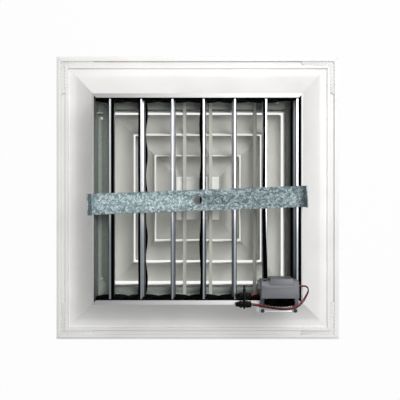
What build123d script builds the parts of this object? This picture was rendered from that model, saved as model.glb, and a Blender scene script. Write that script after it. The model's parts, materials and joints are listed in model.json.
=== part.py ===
"""Square ceiling air diffuser with a motorised opposed-blade damper, standing on its room face.

Millimetres. +Z points into the duct, the room face is at z = 0 and the origin is its middle.
The damper blades and their axes run along Y. Blade 1 is at -X and blade 7 at +X.
"""
import math
import os

from build123d import *

# ---- face frame: four mitred aluminium extrusions ----
FACE = 447.0            # outer side of the square face
NECK = 300.0            # outer side of the square neck and damper casing
NECK_Z = 52.0           # height of the neck ledge that carries the damper
FRAME_T = 1.5           # wall of the extrusion
RAIL_FLAT = 29.3        # flat margin before the slope starts
RAIL_LEDGE = 13.0       # ledge turned in at the top of the slope
RIDGE_H = 5.5           # height of the two ridges that hold the corner keys
RIDGE_OUT = 3.5         # outer ridge, from the edge of the face
RIDGE_IN = 19.2         # inner edge of the inner ridge, from the edge of the face
RIDGE_LIP = 4.6         # width of each ridge's lip
KEY_LEG = 52.0          # length of a corner key's leg
KEY_T = 2.2
KEY_GAP = 0.3           # play of a key in its channel

# ---- damper casing: galvanised sheet ----
SHEET = 1.2
SIDE_HEM = 2.5          # folded hem on the left and right walls
SIDE_HEM_H = 3.0
TOP_FLANGE = 6.0        # flange turned in over the gears, front and back
FOOT_FLANGE = 16.7      # flange turned in at the foot, all round
NOTCH_GAP = 1.0         # top flange's notch round the output gear
RIVET_PLACE = 0.8       # rivets along each side, as a share of half the side
WALL_SCREW_Y = 127.0    # screw in the left wall
WALL_SCREW_UP = 8.8     # above the foot flange
WALL_SCREW_IN = 8.5     # past the wall's inner face
WALL_RIVET_Y = 95.0
WALL_RIVET_DOWN = 6.0   # below the rim

# ---- blades and gears ----
BLADES = 7
TRIM_GAP = 0.2          # last bush to the side wall
LAST_CLEAR = 0.3        # last blade's hub to the gasket on the right wall
FIRST_GAP = 1.95        # closed first blade to the left wall's inner face
HUB_D = 7.6
HUB_BORE = 5.0
WEB_T = 0.9
BEAD_T = 3.2
BEAD_L = 3.4
BEAD_EDGE = 0.6         # bevel of a bead's corners
BEAD_RUN = 1.0          # length over which web thickens to bead
WEB_ROOT = 0.5          # web sunk into the hub tube
PEG_L = 8.0             # gear peg in the hub
JOURNAL_OUT = 0.6       # journal and bush past the casing
TIP_GAP = 0.15          # half the gap between two closed blades
GEAR_TEETH = 30
GEAR_T = 4.5
GEAR_WALL_GAP = 1.7     # gear to the casing wall
ADDENDUM = 1.0
DEDENDUM = 1.3
TOOTH_TIP = 1.3
TOOTH_ROOT = 2.6
GEAR_TOP_GAP = 0.55     # gear to the top flange
GEAR_FOOT_GAP = 2.55    # gear to the foot flange
JOURNAL_D = 8.0
RUNNING_FIT = 0.05      # radial play of a turning fit
PRESS_PLAY = 0.02       # radial play drawn between pieces that are pressed together
BUSH_D = 12.0
BUSH_RIM_D = 15.0
BUSH_RIM_T = 1.2
SECTOR_FROM = 80.0      # the last blade's gears are cut to a sector, in degrees
SECTOR_TO = 192.0

# ---- seals ----
SEAL_REACH = 1.3        # lip past the blade's tip
SEAL_T = 2.6
SEAL_LIFT = 0.6         # lip off the bead's plane
SEAL_TIP = 0.7          # lip's thickness as a share of the foot's
SEAL_SEAT = 0.9         # seal's seat on the bead ends this far inside the tip
SEAL_END = 0.5          # seal to the gears, each end
SEAL_BITE = 0.15        # last seal's back edge, inside the hub's side
LAST_SEAL_TOP = 1.0     # last seal's top above the hub's axis
GASKET_T = 2.3
GASKET_H = 36.0

# ---- core: nested square cones on four ribs ----
CONES = 4               # the innermost is the closed centre pan
CORE_GAP = 2.1          # outer cone's top edge to the foot flange
CORE_DROP = 6.0         # cone tops below the neck ledge
CORE_FOOT = 1.0         # cone feet above the room face plane
CORE_T = 1.0
CORE_LIP = 3.0
CONE_SHARE = 0.745      # cone flare as a share of the frame's slope run
RIB_W = 5.0
RIB_TAB_T = 1.5
RIB_TAB_L = 10.7        # rib end on the foot flange
RIB_GAP = 0.3           # rib to the foot flange's edge
RIB_RIVET_IN = 8.0      # rib rivets, from the neck's outer face
RIB_INNER_X = 19.4
RIB_OUTER_X = 85.8
RIVET_D = 2.4
RIVET_HEAD_D = 4.0
RIVET_HEAD_H = 0.8
CENTRE_SCREW_D = 5.0
CENTRE_SCREW_L = 12.0
CENTRE_HEAD_D = 10.0
CENTRE_HEAD_H = 2.5
CENTRE_NUT_D = 9.0
CENTRE_NUT_H = 4.0

# ---- mounting bridge ----
BRIDGE_W = 30.0
BRIDGE_T = 1.5
BRIDGE_OVER = 1.75      # outer fold line past the neck, each side
BRIDGE_LEG = 30.0
BRIDGE_SKEW = 2.16      # degrees
BRIDGE_Y = -1.85
BRIDGE_HOLE = 12.5
BRIDGE_LEG_HOLE = 6.5
BRIDGE_HOLE_UP = 18.0   # leg holes above the strap's foot
BRIDGE_FOLD_R = 1.2

# ---- actuator ----
DRIVE_BLADE = 6
OUT_TEETH = 27
OUT_RISE = 13.528       # output shaft above the rim
OUT_SHAFT_D = 6.0
OUT_INSET = 0.4         # output gear inside the blade gears' faces
BOX_LEFT = 28.3         # housing sides, from the output shaft
BOX_RIGHT = 23.7
BOX_LIFT = 2.0          # housing above the rim
BOX_H = 35.0
BOX_BACK = 15.2         # housing's outer face inside the casing's outer face
BOX_SPLIT = 30.1        # base and cover meet here, from the casing's outer face
BOX_T = 1.8
BOX_CHAMFER = 1.0
SEAM_W = 0.5            # groove round the joint of base and cover
SEAM_DEEP = 0.5
LID_D = 8.0             # cover's lid, along Y
LID_FALL = 3.0          # lid's top falls this far to its end
LID_RISE = 1.0          # lid's foot rises this far to its end
BLOCK_START = 3.2       # raised block on the lid, from the joint
BLOCK_END = 11.6
BLOCK_LEFT = 11.0       # block inside the housing's left side
BLOCK_RIGHT = 6.5
BLOCK_LOW = 0.4         # block's top below the housing's
BLOCK_FOOT = 5.0
BLOCK_TAPER = 1.8       # block narrows this much each side to its end
LUG_W = 3.4             # latch lug on the housing's left side
LUG_BASE = 3.0
LUG_COVER = 7.0
LUG_FOOT = 8.0
LUG_TOP = 6.0
SLOT_L = 4.6            # latch slot in the lid's top
SLOT_W = 1.6
SLOT_DEEP = 1.3
LEG_W = 5.5
LEG_SHIFT = 1.8         # left leg inside the housing's left side
LEG_H = 4.5
LEG_OUT = 2.0           # leg past the casing's outer face
LEG_GEAR_GAP = 0.7      # right leg to the output gear
FOOT_T = 2.2
FOOT_W = 8.4
FOOT_IN = 2.0           # foot inside the casing's outer face
BRACKET_T = 1.5
BRACKET_FLANGE = 10.5
BRACKET_DROP = 18.0
BRACKET_SIDE = 4.5      # bracket past the housing, each side
BRACKET_SCREW_OUT = 7.9
BRACKET_SHIFT = (0.4, -1.3)     # each bracket screw beside its leg's middle
SCREW_D = 3.0
SCREW_HEAD_D = 5.2
SCREW_HEAD_H = 1.6
BRACKET_SCREW_L = 3.5   # bracket screw below the rim
BRACKET_NUT_H = 2.4
COVER_SCREW_D = 1.6
COVER_HEAD_D = 3.8
COVER_HEAD_H = 1.2
COVER_SCREW_TOP = 5.5   # upper cover screw, from the housing's left side and top
COVER_SCREW_LOW = 3.4   # lower cover screw, from the housing's right side and foot
COVER_POST = 4.8        # square post round a cover screw
COVER_HOLE_START = 3.0
WHEEL_TEETH = 28
PINION_TEETH = 12
SMALL_MODULE = 0.6
SMALL_ADDENDUM = 0.4
SMALL_DEDENDUM = 0.6
SMALL_TIP = 0.45
SMALL_ROOT = 0.95
WHEEL_T = 4.0
WHEEL_GAP = 0.6         # wheel to the housing's wall
MOTOR_GAP = 0.8         # motor to the wheel
BOARD_GAP = 0.7         # board to the motor
COLLAR_T = 2.0          # collar round the output shaft
SHAFT_GAP = 0.4
MOTOR_D = 18.4
MOTOR_L = 8.5
MOTOR_ANGLE = 110.0     # motor axis round the output shaft, degrees from +X
MOTOR_SHAFT_D = 2.0
MOTOR_BORE_SHARE = 0.8  # shaft's bore in the motor, as a share of its length
MOTOR_SHAFT_SHARE = 0.7
BOARD_T = 1.4
BOARD_LEFT = 13.0       # board's sides from the output shaft
BOARD_RIGHT = 14.0
BOARD_FOOT = 5.0
BOARD_TOP = 9.5
CHIP_LEFT = 4.0
CHIP_RIGHT = 3.0
CHIP_FOOT = 9.0
CHIP_TOP = 16.0
CHIP_T = 1.0

# ---- leads, plugs and tie ----
LEAD_D = 1.6
LEAD_HOLE_W = 3.5       # square hole round a lead that crosses a wall at a slant
PLUG_L = 22.0
PLUG_W = 9.0
PLUG_H = 8.0
PLUG_NOSE_L = 6.0
PLUG_NOSE_IN = 1.2
PLUG_GAP = 11.4         # plugs' cable end to the housing
PLUG_OVER = 1.5         # front plug's middle inside the neck's outer face
PLUG_STEP = 12.0        # from the front plug to the back one
CATCH_W = 3.2           # catch on a plug's top
CATCH_BACK = 2.0
CATCH_L = 5.0
CATCH_H = 1.0
TIE_W = 2.6
TIE_T = 1.0
TIE_PLAY = 0.1
TIE_BACK = 9.6          # tie behind the plugs' cable end
TIE_HEAD = 4.0
TIE_TAIL = 6.0
LONG_RED = [(129.7, -118.2, 117.0), (133.6, -120.6, 116.8), (139.6, -122.3, 116.4),
            (147.0, -122.0, 116.0), (153.8, -122.6, 115.4), (157.0, -128.6, 115.0),
            (152.5, -135.9, 115.3), (146.0, -143.8, 116.0), (137.5, -150.6, 116.8),
            (125.0, -153.6, 117.0), (110.0, -152.8, 116.8), (96.0, -150.8, 116.4),
            (86.4, -149.0, 114.6), (76.05, -147.4, 109.5)]
LONG_BLACK = [(129.7, -118.4, 114.0), (133.0, -121.4, 113.9), (138.6, -124.4, 113.8),
              (146.0, -124.3, 113.8), (151.6, -124.8, 113.2), (155.2, -130.8, 113.0),
              (151.2, -137.2, 113.2), (145.4, -143.2, 114.0), (138.4, -152.3, 115.4),
              (125.6, -155.9, 115.8), (110.0, -155.0, 115.6), (95.4, -153.0, 114.8),
              (85.6, -151.2, 113.4), (76.05, -149.6, 108.4)]
SHORT_RED = [(76.05, -135.5, 109.6), (81.2, -134.4, 110.6), (86.8, -131.4, 112.6),
             (91.7, -127.0, 114.4), (95.2, -121.9, 115.4), (101.0, -118.2, 115.4)]
SHORT_BLACK = [(76.05, -137.7, 108.4), (81.6, -137.0, 108.8), (87.6, -133.2, 110.0),
               (93.1, -128.4, 111.4), (96.8, -122.6, 112.2), (101.6, -118.2, 112.2)]

# ---- places worked out from the sizes above ----
HALF_FACE = FACE / 2
HALF_NECK = NECK / 2
INNER = HALF_NECK - SHEET
SLOPE_RUN = HALF_FACE - RAIL_FLAT - HALF_NECK
LAST_GAP = HUB_D / 2 + GASKET_T + LAST_CLEAR
PITCH = (2 * INNER - LAST_GAP - FIRST_GAP) / (BLADES - 0.5)
GEAR_R = PITCH / 2
GEAR_TIP_R = GEAR_R + ADDENDUM
FOOT_TOP = NECK_Z + SHEET
AXIS_Z = FOOT_TOP + GEAR_FOOT_GAP + GEAR_TIP_R
RIM_Z = AXIS_Z + GEAR_TIP_R + GEAR_TOP_GAP + SHEET
BLADE_R = GEAR_R - TIP_GAP
GEAR_Y1 = INNER - GEAR_WALL_GAP
GEAR_Y0 = GEAR_Y1 - GEAR_T
BLADE_X = [INNER - LAST_GAP - (BLADES - n) * PITCH for n in range(1, BLADES + 1)]
DRIVE_X = BLADE_X[DRIVE_BLADE - 1]
MODULE = PITCH / GEAR_TEETH
OUT_R = MODULE * OUT_TEETH / 2
OUT_Z = RIM_Z + OUT_RISE
OUT_X = DRIVE_X + math.sqrt((GEAR_R + OUT_R) ** 2 - (OUT_Z - AXIS_Z) ** 2)
FRONT = -HALF_NECK
BOX_X0 = OUT_X - BOX_LEFT
BOX_X1 = OUT_X + BOX_RIGHT
BOX_Z0 = RIM_Z + BOX_LIFT
BOX_Z1 = BOX_Z0 + BOX_H
BOX_Y0 = FRONT + BOX_BACK
BOX_Y1 = FRONT + BOX_SPLIT
WHEEL_R = SMALL_MODULE * WHEEL_TEETH / 2
PINION_R = SMALL_MODULE * PINION_TEETH / 2
MOTOR_X = OUT_X + (WHEEL_R + PINION_R) * math.cos(math.radians(MOTOR_ANGLE))
MOTOR_Z = OUT_Z + (WHEEL_R + PINION_R) * math.sin(math.radians(MOTOR_ANGLE))
WHEEL_Y0 = BOX_Y0 + BOX_T + WHEEL_GAP
WHEEL_Y1 = WHEEL_Y0 + WHEEL_T
MOTOR_Y0 = WHEEL_Y1 + MOTOR_GAP
MOTOR_Y1 = MOTOR_Y0 + MOTOR_L
BOARD_Y0 = MOTOR_Y1 + BOARD_GAP
BOARD_Y1 = BOARD_Y0 + BOARD_T
CORE_STEP = (HALF_NECK - FOOT_FLANGE - CORE_GAP) / CONES
CORE_TOP = NECK_Z - CORE_DROP
PLUG_FRONT_Y = FRONT + PLUG_OVER
PLUG_BACK_Y = PLUG_FRONT_Y + PLUG_STEP
PLUG_X = BOX_X0 - PLUG_GAP
TIE_X = PLUG_X - TIE_BACK
PAST = 1.0              # how far a cutting tool runs past the face it cuts


# ---- small helpers ----
def box(x0, x1, y0, y1, z0, z1):
    """A block between two corners."""
    return Pos((x0 + x1) / 2, (y0 + y1) / 2, (z0 + z1) / 2) * Box(x1 - x0, y1 - y0, z1 - z0)


def rod_y(x, z, radius, y0, y1):
    """A round bar along Y."""
    return Pos(x, (y0 + y1) / 2, z) * Rot(90, 0, 0) * Cylinder(radius, y1 - y0)


def rod_z(x, y, radius, z0, z1):
    """A round bar along Z."""
    return Pos(x, y, (z0 + z1) / 2) * Cylinder(radius, z1 - z0)


def rod_x(y, z, radius, x0, x1):
    """A round bar along X."""
    return Pos((x0 + x1) / 2, y, z) * Rot(0, 90, 0) * Cylinder(radius, x1 - x0)


def prism_y(points, y0, y1):
    """A closed (x, z) outline carried along Y."""
    face = make_face(Polyline(*[(x, y1, z) for x, z in points], close=True))
    return extrude(face, y1 - y0, dir=(0, -1, 0))


def prism_x(points, x0, x1):
    """A closed (y, z) outline carried along X."""
    face = make_face(Polyline(*[(x0, y, z) for y, z in points], close=True))
    return extrude(face, x1 - x0, dir=(1, 0, 0))


def mitred_side(profile, turn):
    """An (outward, height) outline as one side of a square ring, cut at 45 degrees."""
    reach = max(out for out, _ in profile)
    inside = min(out for out, _ in profile)
    bar = prism_y(profile, -reach, reach)
    top = max(z for _, z in profile)
    corner = make_face(Polyline((0, 0, 0), (2 * reach, 2 * reach, 0), (2 * reach, -2 * reach, 0),
                                close=True))
    wedge = extrude(corner, top + inside, dir=(0, 0, 1))
    return Rot(0, 0, turn) * (bar & wedge)


def save(name, *shapes):
    """Write one node."""
    solids = [solid for shape in shapes for solid in shape.solids()]
    export_step(solids[0] if len(solids) == 1 else Compound(children=solids), f"parts/{name}.step")


def gear_outline(teeth, pitch_r, addendum, dedendum, tip_w, root_w, phase):
    """A spur gear's outline with straight flanks, teeth centred on phase and on every pitch."""
    points = []
    tip_r = pitch_r + addendum
    root_r = pitch_r - dedendum
    tooth = ((root_r, -root_w / 2), (tip_r, -tip_w / 2), (tip_r, tip_w / 2), (root_r, root_w / 2))
    for n in range(teeth):
        middle = math.radians(phase + 360 * n / teeth)
        for radius, half in tooth:
            angle = middle + half / radius
            points.append((radius * math.cos(angle), radius * math.sin(angle)))
    return points


def gear_y(x, z, y0, y1, outline):
    """A gear with its axis along Y."""
    return prism_y([(x + dx, z + dz) for dx, dz in outline], y0, y1)


# ---- face frame ----
def rail_profile():
    """Flat margin, two lipped ridges, slope and neck ledge."""
    edge = HALF_FACE
    wall = FRAME_T
    lip = RIDGE_H - FRAME_T
    slope = math.hypot(SLOPE_RUN, NECK_Z - wall) / (NECK_Z - wall) * wall
    outer_ridge = edge - RIDGE_OUT
    inner_ridge = edge - RIDGE_IN
    return [(edge, 0), (edge, wall), (outer_ridge, wall), (outer_ridge, RIDGE_H),
            (outer_ridge - RIDGE_LIP, RIDGE_H), (outer_ridge - RIDGE_LIP, lip),
            (outer_ridge - wall, lip), (outer_ridge - wall, wall), (inner_ridge + wall, wall),
            (inner_ridge + wall, lip), (inner_ridge + RIDGE_LIP, lip),
            (inner_ridge + RIDGE_LIP, RIDGE_H), (inner_ridge, RIDGE_H), (inner_ridge, wall),
            (edge - RAIL_FLAT, wall), (HALF_NECK, NECK_Z), (HALF_NECK - RAIL_LEDGE, NECK_Z),
            (HALF_NECK - RAIL_LEDGE, NECK_Z - wall), (HALF_NECK - slope / 2, NECK_Z - wall),
            (edge - RAIL_FLAT - slope, 0)]


def corner_key():
    """An L key that lies in the channel of two rails, with hooked ends."""
    out = HALF_FACE - RIDGE_OUT - FRAME_T - KEY_GAP
    inside = HALF_FACE - RIDGE_IN + FRAME_T + KEY_GAP
    hook = (out - inside) / 4
    end = out - KEY_LEG
    points = [(out, out), (out, end), (out - hook, end - hook), (inside + hook, end),
              (inside, end + hook), (inside, inside), (end + hook, inside), (end, inside + hook),
              (end - hook, out - hook), (end, out)]
    face = make_face(Polyline(*[(x, y, FRAME_T) for x, y in points], close=True))
    return extrude(face, KEY_T, dir=(0, 0, 1))


def make_frame():
    profile = rail_profile()
    holes = rib_rivet_holes() + casing_rivet_holes()
    for name, turn in (("right", 0), ("back", 90), ("left", 180), ("front", 270)):
        save(f"rail_{name}", mitred_side(profile, turn) - holes)
    save("corner_keys", *[Rot(0, 0, turn) * corner_key() for turn in (0, 90, 180, 270)])


# ---- damper casing ----
def casing_profile(flange, flange_drop):
    """Web with a foot flange and a top flange or hem."""
    foot = HALF_NECK - FOOT_FLANGE
    return [(HALF_NECK, NECK_Z), (HALF_NECK, RIM_Z), (HALF_NECK - flange, RIM_Z),
            (HALF_NECK - flange, RIM_Z - flange_drop), (INNER, RIM_Z - flange_drop),
            (INNER, FOOT_TOP), (foot, FOOT_TOP), (foot, NECK_Z)]


def bush_holes():
    """Holes for the blade bushes, front and back."""
    radius = BUSH_D / 2 + PRESS_PLAY
    reach = 2 * SHEET
    return [rod_y(x, AXIS_Z, radius, side * HALF_NECK - reach, side * HALF_NECK + reach)
            for x in BLADE_X for side in (-1, 1)]


def casing_rivet_spots():
    """Two rivets a side through the foot flange and the neck ledge."""
    spots = []
    out = HALF_NECK - RAIL_LEDGE / 2
    along = HALF_NECK * RIVET_PLACE
    for sign in (-1, 1):
        for place in (-along, along):
            spots.append((sign * out, place))
            spots.append((place, sign * out))
    return spots


def casing_rivet_holes():
    return [rod_z(x, y, RIVET_D / 2 + PRESS_PLAY, NECK_Z - 2 * FRAME_T, FOOT_TOP + SHEET)
            for x, y in casing_rivet_spots()]


def casing_rivet(x, y):
    """A low rivet: head on the foot flange, shank, and a set end under the ledge."""
    shank = rod_z(x, y, RIVET_D / 2, NECK_Z - FRAME_T, FOOT_TOP)
    head = rod_z(x, y, RIVET_HEAD_D / 2, FOOT_TOP, FOOT_TOP + RIVET_HEAD_H)
    foot = rod_z(x, y, RIVET_HEAD_D / 2, NECK_Z - FRAME_T - RIVET_HEAD_H, NECK_Z - FRAME_T)
    return shank + head + foot


def make_casing():
    holes = bush_holes() + rib_rivet_holes() + casing_rivet_holes()
    side = casing_profile(SIDE_HEM, SIDE_HEM_H)
    end = casing_profile(TOP_FLANGE, SHEET)
    reach = OUT_R + ADDENDUM + NOTCH_GAP
    notch = box(OUT_X - reach, OUT_X + reach, -INNER, -INNER + 2 * TOP_FLANGE,
                RIM_Z - 2 * SHEET, RIM_Z + SHEET)
    screw_z = FOOT_TOP + WALL_SCREW_UP
    rivet_z = RIM_Z - WALL_RIVET_DOWN
    outside = -HALF_NECK
    through = (outside - PAST, -INNER + PAST)
    wall_hole = rod_x(WALL_SCREW_Y, screw_z, SCREW_D / 2 + PRESS_PLAY, *through)
    rivet_hole = rod_x(WALL_RIVET_Y, rivet_z, RIVET_D / 2 + PRESS_PLAY, *through)
    save("casing_right", mitred_side(side, 0) - holes)
    save("casing_back", mitred_side(end, 90) - holes)
    save("casing_left", mitred_side(side, 180) - holes - wall_hole - rivet_hole)
    save("casing_front", mitred_side(end, 270) - holes - notch - bracket_holes())
    screw = rod_x(WALL_SCREW_Y, screw_z, SCREW_D / 2, outside, -INNER + WALL_SCREW_IN)
    screw += rod_x(WALL_SCREW_Y, screw_z, SCREW_HEAD_D / 2, outside - SCREW_HEAD_H, outside)
    rivet = rod_x(WALL_RIVET_Y, rivet_z, RIVET_D / 2, outside, -INNER)
    rivet += rod_x(WALL_RIVET_Y, rivet_z, RIVET_HEAD_D / 2, outside - RIVET_HEAD_H, outside)
    save("casing_fasteners", screw, rivet, *[casing_rivet(x, y) for x, y in casing_rivet_spots()])
    middle = (RIM_Z + FOOT_TOP) / 2
    save("wall_gasket", box(INNER - GASKET_T, INNER, -GEAR_Y0 + PAST, GEAR_Y0 - PAST,
                            middle - GASKET_H / 2, middle + GASKET_H / 2))


def bush(x, side):
    """A flanged nylon bush in the casing wall, bored for the gear's journal."""
    def along(a, b):
        return (a, b) if side > 0 else (-b, -a)
    body = rod_y(x, AXIS_Z, BUSH_D / 2, *along(INNER - BUSH_RIM_T, HALF_NECK + JOURNAL_OUT))
    rim = rod_y(x, AXIS_Z, BUSH_RIM_D / 2, *along(INNER - BUSH_RIM_T, INNER))
    bore = rod_y(x, AXIS_Z, JOURNAL_D / 2 + RUNNING_FIT, *along(GEAR_Y1, HALF_NECK + JOURNAL_OUT + PAST))
    return body + rim - bore


def trimmed_bush(x, side):
    """The last bush, flattened beside the side wall."""
    keep = box(x - BUSH_RIM_D, INNER - TRIM_GAP, -NECK, NECK, 0, 2 * RIM_Z)
    return bush(x, side) & keep


def make_bushes():
    for name, side in (("front", -1), ("back", 1)):
        shapes = [bush(x, side) for x in BLADE_X[:-1]] + [trimmed_bush(BLADE_X[-1], side)]
        save(f"bushes_{name}", *shapes)


# ---- blades ----
def blade(x, has_far_wing):
    """An extruded aluminium blade standing open: hub tube, thin web and a bead on each edge."""
    half = WEB_T / 2
    bead = BEAD_T / 2
    root = HUB_D / 2 - WEB_ROOT
    foot = BLADE_R - BEAD_L
    shoulder = BLADE_R - BEAD_EDGE
    right = [(half, root), (half, foot - BEAD_RUN), (bead, foot), (bead, shoulder),
             (bead - BEAD_EDGE, BLADE_R)]
    outline = right + [(-dx, dz) for dx, dz in reversed(right)]
    shape = rod_y(x, AXIS_Z, HUB_D / 2, -GEAR_Y0, GEAR_Y0)
    for sign in (1, -1) if has_far_wing else (1,):
        shape += prism_y([(x + dx, AXIS_Z + sign * dz) for dx, dz in outline], -GEAR_Y0, GEAR_Y0)
    return shape - rod_y(x, AXIS_Z, HUB_BORE / 2, -GEAR_Y0 - PAST, GEAR_Y0 + PAST)


def blade_gear(n, side):
    """A nylon gear with a peg in the blade's hub and a journal in the casing's bush."""
    x = BLADE_X[n - 1]
    phase = 0 if n % 2 else 180 / GEAR_TEETH
    outline = gear_outline(GEAR_TEETH, GEAR_R, ADDENDUM, DEDENDUM, TOOTH_TIP, TOOTH_ROOT, phase)

    def along(a, b):
        return (a, b) if side > 0 else (-b, -a)
    disc = gear_y(x, AXIS_Z, *along(GEAR_Y0, GEAR_Y1), outline)
    if n == BLADES:
        middle = (SECTOR_FROM + SECTOR_TO) / 2
        reach = 2 * GEAR_TIP_R
        rays = [math.radians(a) for a in (SECTOR_FROM, middle, SECTOR_TO)]
        wedge = [(x, AXIS_Z)] + [(x + reach * math.cos(a), AXIS_Z + reach * math.sin(a)) for a in rays]
        disc &= prism_y(wedge, *along(GEAR_Y0, GEAR_Y1))
        disc += rod_y(x, AXIS_Z, HUB_D / 2, *along(GEAR_Y0, GEAR_Y1))
    journal = rod_y(x, AXIS_Z, JOURNAL_D / 2, *along(GEAR_Y1, HALF_NECK + JOURNAL_OUT))
    peg = rod_y(x, AXIS_Z, HUB_BORE / 2 - PRESS_PLAY, *along(GEAR_Y0 - PEG_L, GEAR_Y0))
    return disc + journal + peg


def seal(x, edge, side):
    """A lip seal on a blade's bead: edge +1 near the duct, -1 far; side +1 is the blade's +X face."""
    bead = BEAD_T / 2
    foot = BLADE_R - BEAD_L
    lip = BLADE_R + SEAL_REACH
    outline = [(bead, foot), (bead, BLADE_R - SEAL_SEAT), (bead + SEAL_LIFT, lip),
               (bead + SEAL_T * SEAL_TIP, lip), (bead + SEAL_T, foot)]
    points = [(x + side * dx, AXIS_Z + edge * dz) for dx, dz in outline]
    return prism_y(points, -GEAR_Y0 + SEAL_END, GEAR_Y0 - SEAL_END)


def last_seal(x):
    """The last blade has no far wing, so its seal lies along the hub, clear of the web."""
    hub = HUB_D / 2
    outline = [(-hub - SEAL_T, -hub), (-hub - SEAL_T, LAST_SEAL_TOP), (-hub + SEAL_BITE, LAST_SEAL_TOP),
               (-hub + SEAL_BITE, -LAST_SEAL_TOP), (-hub - SEAL_T / 2, -hub)]
    points = [(x + dx, AXIS_Z + dz) for dx, dz in outline]
    strip = prism_y(points, -GEAR_Y0 + SEAL_END, GEAR_Y0 - SEAL_END)
    return strip - rod_y(x, AXIS_Z, HUB_D / 2 + PRESS_PLAY, -GEAR_Y0, GEAR_Y0)


def make_blades():
    for n, x in enumerate(BLADE_X, start=1):
        save(f"blade_{n}", blade(x, n < BLADES))
        save(f"gears_{n}", blade_gear(n, -1), blade_gear(n, 1))
        if n == 1:
            save("seals_1", seal(x, 1, 1))
        elif n == BLADES:
            save(f"seals_{n}", last_seal(x))
        elif n % 2 == 0:
            save(f"seals_{n}", seal(x, 1, -1), seal(x, -1, 1))


# ---- core ----
def cone_shell(level, closed):
    """A square cone in sheet, flaring down, with a lip turned in at its top edge."""
    top = CORE_STEP * level
    flare = SLOPE_RUN * CONE_SHARE
    bottom = top + flare
    height = CORE_TOP - CORE_FOOT
    side = CORE_T * math.hypot(flare, height) / height

    def frustum(shrink, z0, z1):
        lower = Plane((0, 0, z0)) * Rectangle(2 * (bottom - shrink), 2 * (bottom - shrink))
        upper = Plane((0, 0, z1)) * Rectangle(2 * (top - shrink), 2 * (top - shrink))
        return loft([lower, upper])
    shell = frustum(0, CORE_FOOT, CORE_TOP) - frustum(side, CORE_FOOT, CORE_TOP)
    open_half = top - CORE_LIP
    lip = box(-top, top, -top, top, CORE_TOP - CORE_T, CORE_TOP) & frustum(0, CORE_FOOT, CORE_TOP)
    if not closed:
        lip -= box(-open_half, open_half, -open_half, open_half, 0, RIM_Z)
    return shell + lip


def rib(x):
    """A bar along Y over the cones' lips, with a thin tab at each end on the foot flange."""
    inside = HALF_NECK - FOOT_FLANGE - RIB_GAP
    top = FOOT_TOP + RIB_TAB_T
    bar = box(x - RIB_W / 2, x + RIB_W / 2, -inside, inside, CORE_TOP, top)
    tab = box(x - RIB_W / 2, x + RIB_W / 2, -inside - RIB_TAB_L, inside + RIB_TAB_L, FOOT_TOP, top)
    return bar + tab


def rib_places():
    return (-RIB_OUTER_X, -RIB_INNER_X, RIB_INNER_X, RIB_OUTER_X)


def rib_rivet_spots():
    y = HALF_NECK - RIB_RIVET_IN
    return [(x, side * y) for x in rib_places() for side in (-1, 1)]


def rib_rivet_holes():
    return [rod_z(x, y, RIVET_D / 2 + PRESS_PLAY, NECK_Z - 2 * FRAME_T, FOOT_TOP + 2 * RIB_TAB_T)
            for x, y in rib_rivet_spots()]


def rib_rivet(x, y):
    """A flush rivet through a rib's tab, the foot flange and the neck ledge."""
    shank = rod_z(x, y, RIVET_D / 2, NECK_Z - FRAME_T, FOOT_TOP + RIB_TAB_T)
    foot = rod_z(x, y, RIVET_HEAD_D / 2, NECK_Z - FRAME_T - RIVET_HEAD_H, NECK_Z - FRAME_T)
    return shank + foot


def centre_screw():
    """A screw and nut through the middle of the centre pan."""
    head = rod_z(0, 0, CENTRE_HEAD_D / 2, CORE_TOP, CORE_TOP + CENTRE_HEAD_H)
    shank = rod_z(0, 0, CENTRE_SCREW_D / 2, CORE_TOP - CENTRE_SCREW_L, CORE_TOP)
    nut_top = CORE_TOP - CORE_T
    return head + shank + rod_z(0, 0, CENTRE_NUT_D / 2, nut_top - CENTRE_NUT_H, nut_top)


def make_core():
    pan_hole = rod_z(0, 0, CENTRE_SCREW_D / 2 + PRESS_PLAY, 0, RIM_Z)
    save("core_centre_pan", cone_shell(1, True) - pan_hole)
    for level, name in enumerate(("inner", "middle", "outer"), start=2):
        save(f"core_cone_{name}", cone_shell(level, False))
    for n, x in enumerate(rib_places(), start=1):
        save(f"core_rib_{n}", rib(x) - rib_rivet_holes())
    save("core_rivets", *[rib_rivet(x, y) for x, y in rib_rivet_spots()])
    save("core_centre_screw", centre_screw())


# ---- mounting bridge ----
def make_bridge():
    """A strap across the rim with both ends folded up, laid slightly askew."""
    half = HALF_NECK + BRIDGE_OVER
    strap = box(-half, half, -BRIDGE_W / 2, BRIDGE_W / 2, 0, BRIDGE_T)
    for sign in (-1, 1):
        outer = sign * half
        inner = sign * (half - BRIDGE_T)
        leg = box(min(outer, inner), max(outer, inner), -BRIDGE_W / 2, BRIDGE_W / 2, 0, BRIDGE_LEG)
        strap += leg - rod_x(0, BRIDGE_HOLE_UP, BRIDGE_LEG_HOLE / 2,
                             outer - 2 * BRIDGE_T, outer + 2 * BRIDGE_T)
    strap -= rod_z(0, 0, BRIDGE_HOLE / 2, -PAST, BRIDGE_T + PAST)
    folds = strap.edges().filter_by(Axis.Y).group_by(Axis.Z)[0]
    strap = fillet(folds, BRIDGE_FOLD_R)
    save("mounting_bridge", Pos(0, BRIDGE_Y, RIM_Z) * Rot(0, 0, BRIDGE_SKEW) * strap)


# ---- actuator ----
def leg_starts():
    """The lower X of each housing leg; the right one stands clear of the output gear."""
    return [BOX_X0 + LEG_SHIFT, OUT_X + OUT_R + ADDENDUM + LEG_GEAR_GAP]


def bracket_spots():
    """X of the two bracket screws, each beside its leg's middle."""
    return [x + LEG_W / 2 + shift for x, shift in zip(leg_starts(), BRACKET_SHIFT)]


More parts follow.
